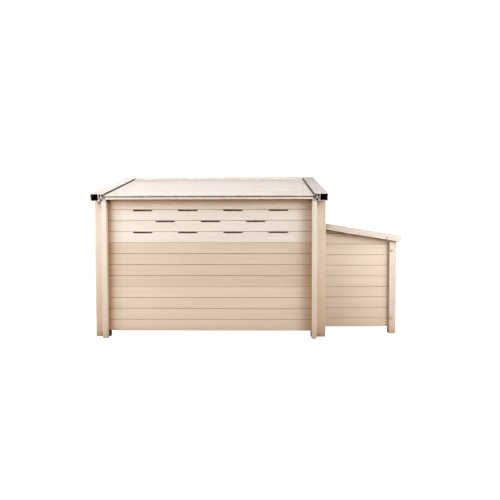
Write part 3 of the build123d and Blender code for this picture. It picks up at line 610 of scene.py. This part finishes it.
# outlines are (radius, height) points in millimetres; a point given twice is a corner
DOME_BOLT = ((0, -20.9), (4, -20.9), (4, -20.9), (4, 0), (4, 0), (7.5, 0), (7.5, 0), (7.5, 1.1), (7.2, 2.0),
             (6.6, 2.7), (6.0, 4.6), (4.4, 6.9), (2.2, 8.2), (0, 8.6))
BOLT_NUT = ((0, 0), (7.5, 0), (7.5, 0), (7.5, 4.6), (7.0, 5.6), (5.6, 6.0), (2.4, 6.0), (2.0, 5.2), (0, 5.0))
SCREW_CAP = ((0, 0), (6, 0), (6, 0), (6.0, 1.0), (5.6, 1.9), (4.6, 2.5), (2.6, 2.8), (1.4, 2.6), (0, 2.3))
KNOB = ((0, 0), (9, 0), (9, 0), (9.0, 1.4), (7.6, 3.0), (6.2, 5.4), (6.0, 8.6), (8.4, 11.6), (11.9, 14.0),
        (13.0, 17.2), (12.2, 20.6), (9.4, 23.0), (5.6, 24.1), (0, 24.5))
PLUG = ((0, -1.0), (4.0, -1.0), (4.0, -1.0), (4.2, 0.1), (3.9, 0.4), (2.2, 0.6), (0, 0.65))
WASHER = ((0, 0), (7, 0), (7, 0), (7, 0.9), (7, 0.9), (0, 0.9))
ROUND_EDGE = 50.0           # turned pieces are smooth up to this angle
FIN_THICK = 21 * MM

wall_low, wall_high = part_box("low_wall_board_vented")
body_middle = middle(wall_low.x, wall_high.x)
bm = bmesh.new()
for low, high in islands("dome_bolts"):
    centre = middle(low, high)
    inward = -1 if centre.x > body_middle else 1
    if high.x - low.x > FIN_THICK:
        face = low.x + FIN_THICK if inward > 0 else high.x - FIN_THICK
        turned(bm, outward(Vector((face, centre.y, centre.z)), (inward, 0, 0)), DOME_BOLT)
    else:
        face = high.x if inward > 0 else low.x
        turned(bm, outward(Vector((face, centre.y, centre.z)), (-inward, 0, 0)), BOLT_NUT)
finish_piece("dome_bolts_turned", bm, "cap", "hutch", ("dome_bolts",), ROUND_EDGE)

bm = bmesh.new()
for low, high in islands("screw_caps"):
    centre = middle(low, high)
    near = centre.y < 0
    centre.y = high.y if near else low.y
    turned(bm, outward(centre, (0, -1 if near else 1, 0)), SCREW_CAP)
finish_piece("screw_caps_turned", bm, "cap", "hutch", ("screw_caps",), ROUND_EDGE)

HEAD_PLAY = 0.2 * MM        # between the turn button and the head of its screw
BUTTON_SCREW = (5.6 * MM, 2.8 * MM)         # radius and height of the head
SHANK_R = 2.4
WASHER_DROP = 0.95 * MM     # from the back of the turn button to the washer's seat

bm = bmesh.new()
low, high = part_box("button_screw")
button_low, button_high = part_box("turn_button")
seat = Vector((middle(low.x, high.x), button_high.y + HEAD_PLAY, middle(low.z, high.z)))
cross_screw(bm, outward(seat, BACK), *BUTTON_SCREW)
place = outward(Vector((seat.x, low.y, seat.z)), BACK)
grip = (seat.y - low.y) / MM
turned(bm, place, ((0, 0), (SHANK_R, 0), (SHANK_R, 0), (SHANK_R, grip), (SHANK_R, grip), (0, grip)), 24)
place = outward(Vector((seat.x, button_low.y - WASHER_DROP, seat.z)), BACK)
turned(bm, place, WASHER, 32)
finish_piece("button_screw_and_washer", bm, "zinc", "hutch", ("button_screw",), ROUND_EDGE)

for hand in ("left", "right"):
    node = hand + "_door_knob"
    low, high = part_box(node)
    seat = Vector((middle(low.x, high.x), low.y, middle(low.z, high.z)))
    bm = bmesh.new()
    turned(bm, outward(seat, BACK), KNOB, 56)
    finish_piece(node + "_turned", bm, "knob", hand + "_door", (node,), ROUND_EDGE)

# ---- welded mesh in the doors, with its staples --------------------------------------------------
WIRE_R = 1.0 * MM
WIRE_PITCH = 25 * MM
UPRIGHT_SET = 2.7 * WIRE_R  # how far the upright wires lie behind the level ones' faces
WIRE_EDGE = 60.0
STAPLE_STEP = 4             # a staple every so many wires
STAPLE_SHIFT = 0.4 * WIRE_PITCH
STAPLE_LEG = 2.4 * MM
STAPLE_R = 0.6 * MM
STAPLE_SIDES = 8
for hand in ("left", "right"):
    node = hand + "_door_mesh"
    low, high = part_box(node)
    back_face = high.y
    columns = int((high.x - low.x - 2 * WIRE_R) / WIRE_PITCH)
    rows = int((high.z - low.z - 2 * WIRE_R) / WIRE_PITCH)
    xs = [low.x + WIRE_R + (high.x - low.x - 2 * WIRE_R) * step / columns for step in range(columns + 1)]
    zs = [low.z + WIRE_R + (high.z - low.z - 2 * WIRE_R) * step / rows for step in range(rows + 1)]
    bm = bmesh.new()
    for z in zs:
        tube(bm, ((low.x, back_face - WIRE_R, z), (high.x, back_face - WIRE_R, z)), WIRE_R)
    for x in xs:
        tube(bm, ((x, back_face - UPRIGHT_SET, low.z), (x, back_face - UPRIGHT_SET, high.z)), WIRE_R)
    finish_piece(node + "_wires", bm, "galvanised", hand + "_door", (node,), WIRE_EDGE)

    bm = bmesh.new()
    out = back_face - 2.9 * MM
    for z in (zs[0], zs[-1]):
        under, over = z - STAPLE_LEG, z + STAPLE_LEG
        for x in xs[2:-1:STAPLE_STEP]:
            at = x + STAPLE_SHIFT
            route = ((at, back_face, under), (at, out, under), (at, out, over), (at, back_face, over))
            tube(bm, route, STAPLE_R, STAPLE_SIDES)
    out = back_face - 4.6 * MM
    for x in (xs[0], xs[-1]):
        left, right = x - STAPLE_LEG, x + STAPLE_LEG
        for z in zs[1:-1:STAPLE_STEP]:
            at = z + STAPLE_SHIFT
            route = ((left, back_face, at), (left, out, at), (right, out, at), (right, back_face, at))
            tube(bm, route, STAPLE_R, STAPLE_SIDES)
    finish_piece(hand + "_door_staples", bm, "galvanised", hand + "_door", (), WIRE_EDGE)

# ---- plugs over the frame screws, low enough for the turn button to pass over ----------------------
STILE = 40 * MM
PLUG_SIDES = 28
outer_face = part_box("centre_mullion")[1].y
for hand in ("left", "right"):
    low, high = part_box(hand + "_door_stiles")
    levels = [middle(bottom.z, top.z) for bottom, top in islands(hand + "_door_rails")]
    bm = bmesh.new()
    for x in (low.x + STILE / 2, high.x - STILE / 2):
        for z in levels:
            turned(bm, outward(Vector((x, outer_face, z)), BACK), PLUG, PLUG_SIDES)
    finish_piece(hand + "_door_plugs", bm, "cap", hand + "_door", (), ROUND_EDGE)

bm = bmesh.new()
for node in ("header_rail", "tray_rail", "sill_rail"):
    low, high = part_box(node)
    for x in (low.x - FIN_THICK / 2, high.x + FIN_THICK / 2):
        turned(bm, outward(Vector((x, outer_face, middle(low.z, high.z))), BACK), PLUG, PLUG_SIDES)
finish_piece("frame_plugs", bm, "cap", "hutch", (), ROUND_EDGE)

# ---- stop on the nest lid's low rail, beside the post --------------------------------------------------
STOP_LONG, STOP_HIGH, STOP_THICK = 18 * MM, 13 * MM, 2.2 * MM
STOP_ROUND = 9 * MM         # radius of its lower corner, away from the post
STOP_CUT = 2 * MM           # off its upper corner
STOP_STEPS = 6
STOP_SINK = 0.2 * MM        # into the rail

rail_low, rail_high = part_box("nest_lid_rail_low")
post_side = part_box("nest_post_low")[0].x
along = Vector((math.cos(LID_PITCH), 0, -math.sin(LID_PITCH)))
tip = Vector((rail_high.x, rail_low.y, rail_low.z))
corner = tip + along * ((post_side - tip.x) / along.x)
outline = [(0, 0), (0, STOP_HIGH), (-STOP_LONG + STOP_CUT, STOP_HIGH), (-STOP_LONG, STOP_HIGH - STOP_CUT)]
for step in range(STOP_STEPS + 1):
    angle = math.pi + step * math.pi / (2 * STOP_STEPS)
    outline.append((-STOP_LONG + STOP_ROUND * (1 + math.cos(angle)), STOP_ROUND * (1 + math.sin(angle))))
bm = bmesh.new()
near = [bm.verts.new(corner + along * u + LID_UP * v + Vector((0, -STOP_THICK, 0))) for u, v in outline]
far = [bm.verts.new(corner + along * u + LID_UP * v + Vector((0, STOP_SINK, 0))) for u, v in outline]
band(bm, near, far)
wear_and_highlight = bm.faces.layers.float.new("wear_and_highlight")
bm.faces.new(far)
face = bm.faces.new(near)
rounded = bmesh.ops.bevel(bm, geom=list(face.edges), offset=0.6 * MM, offset_type="OFFSET", segments=2,
                          profile=0.5, affect="EDGES", clamp_overlap=True)
for face in rounded["faces"]:
    face[wear_and_highlight] = 1.0
finish_piece("nest_lid_stop", bm, "lid_rail", "nest_lid")


# ---- floor, backdrop, lights and camera ------------------------------------------------------------------
def stage_material(name, glow, diffuse):
    """A plain surface that partly glows, so that it stays pale in a soft shadow."""
    material = bpy.data.materials.new(name)
    material.use_nodes = True
    shader = material.node_tree.nodes["Principled BSDF"]
    shader.inputs["Base Color"].default_value = rgba(diffuse)
    shader.inputs["Roughness"].default_value = 0.9
    shader.inputs["Specular IOR Level"].default_value = 0.0
    shader.inputs["Emission Color"].default_value = (1, 1, 1, 1)
    shader.inputs["Emission Strength"].default_value = glow
    return material


def stage_piece(name, bm, material):
    mesh = bpy.data.meshes.new(name)
    bm.to_mesh(mesh)
    bm.free()
    made = bpy.data.objects.new(name, mesh)
    bpy.context.scene.collection.objects.link(made)
    made.data.materials.append(material)
    return made


def seen_only(made):
    """Light passes a stage piece that only the camera sees."""
    made.visible_diffuse = made.visible_glossy = made.visible_transmission = made.visible_shadow = False


def disc(radius, drop):
    """A flat round sheet, a little under the ground."""
    bm = bmesh.new()
    bmesh.ops.create_circle(bm, cap_ends=True, segments=96, radius=radius)
    bmesh.ops.translate(bm, verts=bm.verts, vec=(0, 0, -drop))
    return bm


FLOOR_GLOW, FLOOR_TONE = 1.02, (0.35, 0.35, 0.35)
BACKDROP_GLOW, BACKDROP_TONE = 1.3, (0.8, 0.8, 0.8)
BOUNCE_TONE = (0.42, 0.33, 0.25)
floor_finish = stage_material("stage_floor", FLOOR_GLOW, FLOOR_TONE)
seen_only(stage_piece("stage_floor", disc(24.0, 0.3 * MM), floor_finish))

bm = bmesh.new()
bmesh.ops.create_icosphere(bm, subdivisions=4, radius=23.0)
seen_only(stage_piece("stage_backdrop", bm, stage_material("stage_backdrop", BACKDROP_GLOW, BACKDROP_TONE)))

# the light that the ground throws back, which the camera doesn't see
bounce = stage_piece("stage_bounce", disc(6.0, 0.6 * MM), stage_material("stage_bounce", 0.0, BOUNCE_TONE))
bounce.visible_camera = False


def soft_light(name, where, aim, size, power):
    """A soft box that shines at a point: its sides in metres and its power in watts."""
    lamp = bpy.data.lights.new(name, "AREA")
    lamp.shape = "RECTANGLE"
    lamp.size, lamp.size_y = size
    lamp.energy = power
    made = bpy.data.objects.new(name, lamp)
    made.matrix_world = outward(Vector(where), Vector(where) - Vector(aim))
    made.visible_camera = False
    bpy.context.scene.collection.objects.link(made)


LEFT_AIM = (-0.2, -0.25, 0.35)
RIGHT_AIM = (0.2, -0.25, 0.35)
soft_light("left_far", (-2.1, -1.0, 1.5), LEFT_AIM, (1.0, 1.0), 29.6)
soft_light("left_low", (-1.6, -1.6, 0.75), LEFT_AIM, (0.9, 0.7), 12.5)
soft_light("left_near", (-1.2, -1.3, 1.3), LEFT_AIM, (0.9, 0.9), 5.3)
soft_light("right_near", (1.5, -0.75, 1.0), RIGHT_AIM, (0.8, 0.8), 13.7)
soft_light("right_low", (2.3, -1.0, 1.0), (0.0, -0.25, 0.35), (1.2, 1.2), 20.9)
soft_light("right_front", (2.0, -1.7, 1.6), RIGHT_AIM, (0.9, 0.9), 16.2)
soft_light("right_high", (1.5, -1.0, 2.0), RIGHT_AIM, (0.9, 0.9), 6.3)
soft_light("overhead", (0.0, -0.3, 2.6), (0.0, 0.0, 0.4), (2.2, 1.6), 22.0)
soft_light("rear", (-0.6, 2.6, 1.1), (0.0, 0.2, 0.35), (2.0, 1.2), 64.0)

WORLD_GLOW = 0.05
world = bpy.data.worlds.new("studio")
bpy.context.scene.world = world
world.use_nodes = True
background = world.node_tree.nodes["Background"]
background.inputs["Color"].default_value = (1, 1, 1, 1)
background.inputs["Strength"].default_value = WORLD_GLOW

EYE = (0.0392, -2.3700, 0.4692)
YAW, PITCH, ROLL = 0.0176, 0.0336, -0.0015      # radians; the camera looks slightly down
VIEW_GAMMA = 0.9
forward = Vector((-math.sin(YAW) * math.cos(PITCH), math.cos(YAW) * math.cos(PITCH), -math.sin(PITCH)))
camera = bpy.data.cameras.new("camera")
camera.lens = 33.606
camera.sensor_width = 36.0
camera.clip_end = 100.0
eye = bpy.data.objects.new("camera", camera)
aimed = forward.to_track_quat("-Z", "Y").to_matrix().to_4x4()
eye.matrix_world = Matrix.Translation(EYE) @ aimed @ Matrix.Rotation(ROLL, 4, "Z")
bpy.context.scene.collection.objects.link(eye)
bpy.context.scene.camera = eye
bpy.context.scene.view_settings.view_transform = "Standard"
bpy.context.scene.view_settings.gamma = VIEW_GAMMA

bpy.context.view_layer.update()
